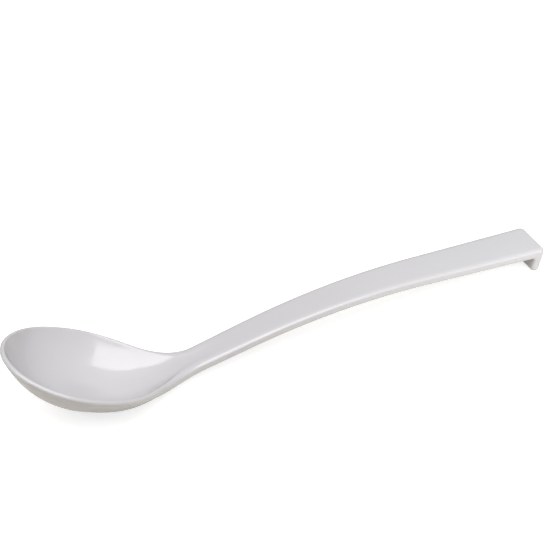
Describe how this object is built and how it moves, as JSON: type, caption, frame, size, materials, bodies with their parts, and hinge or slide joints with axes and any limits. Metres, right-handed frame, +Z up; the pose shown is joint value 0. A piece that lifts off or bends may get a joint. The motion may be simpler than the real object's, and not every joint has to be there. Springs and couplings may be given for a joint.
{
  "type": "serving spoon",
  "caption": "Serving spoon moulded in one piece: a deep oval bowl, a bent neck, a flat arched handle that widens to its end, and a turned-down hook for hanging it on a rim or a rail.",
  "frame": {"origin": "on the table, under the middle of the spoon's overall box, with the spoon at rest on its bowl and its hook", "axes": "+X from the bowl's tip to the hook, +Z up from the table, +Y across the spoon; the XZ plane is its plane of symmetry"},
  "size_m": [0.2668, 0.0578, 0.042],
  "materials": {
    "melamine": "glossy off-white moulded melamine"
  },
  "bodies": {
    "root": {"spoon": "melamine"}
  },
  "joints": []
}
